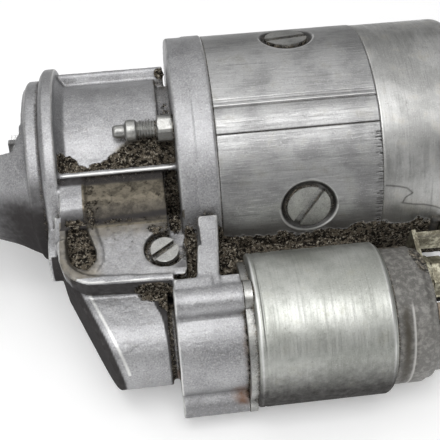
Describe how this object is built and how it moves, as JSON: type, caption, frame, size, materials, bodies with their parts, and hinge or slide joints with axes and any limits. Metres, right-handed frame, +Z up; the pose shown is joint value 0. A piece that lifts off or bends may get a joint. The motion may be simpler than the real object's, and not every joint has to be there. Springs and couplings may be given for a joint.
{
  "type": "starter motor",
  "caption": "Pre-engaged starter motor: cast nose housing with flange, steel yoke, end cap and a side solenoid that works a lever and sliding pinion.",
  "frame": {"origin": "on the shaft axis, in the mating face of the mounting flange", "axes": "+X along the shaft towards the commutator end, +Z up with the starter lying on its ring and solenoid, solenoid towards -Y"},
  "size_m": [0.214, 0.1481, 0.091],
  "materials": {
    "cast_aluminium": "sand-rough die casting, grimed",
    "turned_aluminium": "turned, brushed round the axis",
    "yoke_steel": "drawn tube, brushed along the axis",
    "can_steel": "plain drawn steel, satin",
    "screw_steel": "worn zinc plate",
    "bronze": "sintered bronze",
    "soft_iron": "bare soft iron",
    "copper_wire": "varnished copper",
    "copper": "turned copper",
    "laminate": "resin bonded paper",
    "brass_plate": "pressed brass",
    "carbon": "pressed carbon and copper",
    "spring_steel": "oiled spring wire",
    "ground_steel": "ground and hardened",
    "forged_steel": "forged, oiled",
    "cap_moulding": "dark thermoset moulding",
    "grommet_rubber": "moulded rubber"
  },
  "bodies": {
    "housing": {"drive_end_housing": "cast_aluminium", "commutator_end_cap": "turned_aluminium", "rear_bearing_cap": "turned_aluminium", "yoke": "yoke_steel", "solenoid_can": "can_steel", "solenoid_flange": "screw_steel", "pole_screws": "screw_steel", "through_bolts": "screw_steel", "through_bolt_nuts": "screw_steel", "rear_cap_screws": "screw_steel", "pivot_bolt": "screw_steel", "solenoid_screws": "screw_steel", "nose_bush": "bronze", "rear_bush": "bronze", "pole_shoes": "soft_iron", "solenoid_core": "soft_iron", "field_coils": "copper_wire", "solenoid_winding": "copper_wire", "brush_plate": "laminate", "blade_block": "laminate", "brush_boxes": "brass_plate", "terminal_studs": "brass_plate", "terminal_nuts": "brass_plate", "terminal_washers": "brass_plate", "switch_blade": "brass_plate", "connecting_strap": "brass_plate", "brushes": "carbon", "brush_springs": "spring_steel", "plunger_spring": "spring_steel", "contact_spring": "spring_steel", "thrust_washers": "ground_steel", "solenoid_cap": "cap_moulding", "lead_grommet": "grommet_rubber"},
    "armature": {"armature_shaft": "ground_steel", "armature_core": "soft_iron", "armature_windings": "copper_wire", "commutator": "copper", "shaft_clip": "spring_steel", "stop_ring": "ground_steel"},
    "drive": {"clutch_shell": "ground_steel", "clutch_cover": "ground_steel", "clutch_rollers": "ground_steel", "driver_sleeve": "ground_steel", "meshing_spring": "spring_steel", "sleeve_clip": "spring_steel"},
    "pinion": {"drive_pinion": "ground_steel"},
    "guide": {"guide_ring": "bronze"},
    "lever": {"shift_lever": "forged_steel"},
    "plunger": {"plunger": "soft_iron", "plunger_pin": "screw_steel"},
    "contact": {"contact_rod": "laminate", "contact_disc": "copper"}
  },
  "joints": [
    {"name": "plunger_slide", "type": "slide", "parent": "housing", "child": "plunger", "axis": [1, 0, 0], "range_m": [0, 0.0074], "stiffness_N_per_m": 600, "springref_m": -0.006, "deforming": ["plunger_spring"]},
    {"name": "lever_pivot", "type": "hinge", "parent": "housing", "child": "lever", "pos_m": [0.039, -0.05013, -0.01381], "axis": [0, -0.2657, 0.9641], "range_deg": [0, 17.9]},
    {"name": "guide_slide", "type": "slide", "parent": "housing", "child": "guide", "axis": [-1, 0, 0], "range_m": [0, 0.016]},
    {"name": "armature_spin", "type": "hinge", "parent": "housing", "child": "armature", "pos_m": [0, 0, 0], "axis": [1, 0, 0], "continuous": true},
    {"name": "drive_slide", "type": "slide", "parent": "armature", "child": "drive", "axis": [-1, 0, 0], "range_m": [0, 0.016]},
    {"name": "pinion_overrun", "type": "hinge", "parent": "drive", "child": "pinion", "pos_m": [0, 0, 0], "axis": [1, 0, 0], "continuous": true},
    {"name": "contact_slide", "type": "slide", "parent": "housing", "child": "contact", "axis": [1, 0, 0], "range_m": [0, 0.0022], "deforming": ["contact_spring"]}
  ],
  "couplings": [
    {"joint": "lever_pivot", "follows": "plunger_slide", "rad_per_m": 42.2},
    {"joint": "guide_slide", "follows": "plunger_slide", "ratio": 2.162},
    {"joint": "drive_slide", "follows": "plunger_slide", "ratio": 2.162},
    {"joint": "contact_slide", "follows": "plunger_slide", "ratio": 0.297}
  ]
}
